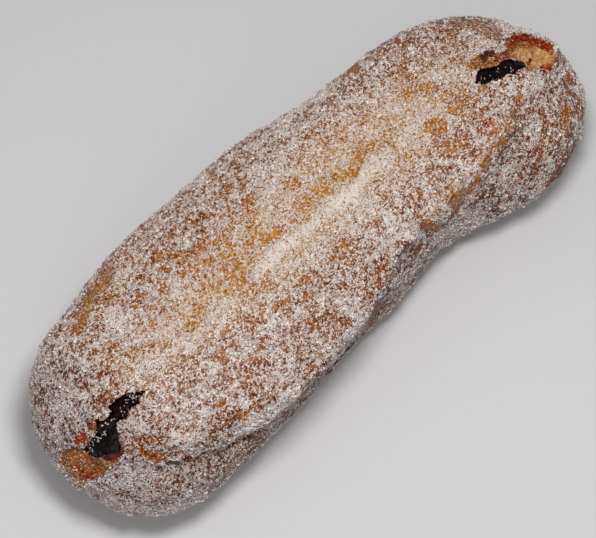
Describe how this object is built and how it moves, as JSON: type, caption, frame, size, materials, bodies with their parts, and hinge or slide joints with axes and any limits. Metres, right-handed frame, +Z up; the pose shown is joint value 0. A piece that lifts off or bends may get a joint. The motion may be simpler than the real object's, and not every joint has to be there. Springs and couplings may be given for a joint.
{
  "type": "long john doughnut",
  "caption": "Long fried yeast bun rolled in granulated sugar, folded along one side, with a core of dark jam showing where the crust is torn open near both ends.",
  "frame": {"origin": "on the surface that the bun rests on, under the middle of its box", "axes": "+X along the bun to its wide bent end, +Y to its far side, away from the folded side, +Z up"},
  "size_m": [0.1464, 0.0546, 0.0384],
  "materials": {
    "sugared_crust": "fried golden-brown crust under coarse white granulated sugar, with bare orange-brown crumb at the tears",
    "dark_jam": "wet, glossy, almost black fruit jam"
  },
  "bodies": {
    "root": {"dough": "sugared_crust", "jam": "dark_jam"}
  },
  "joints": []
}
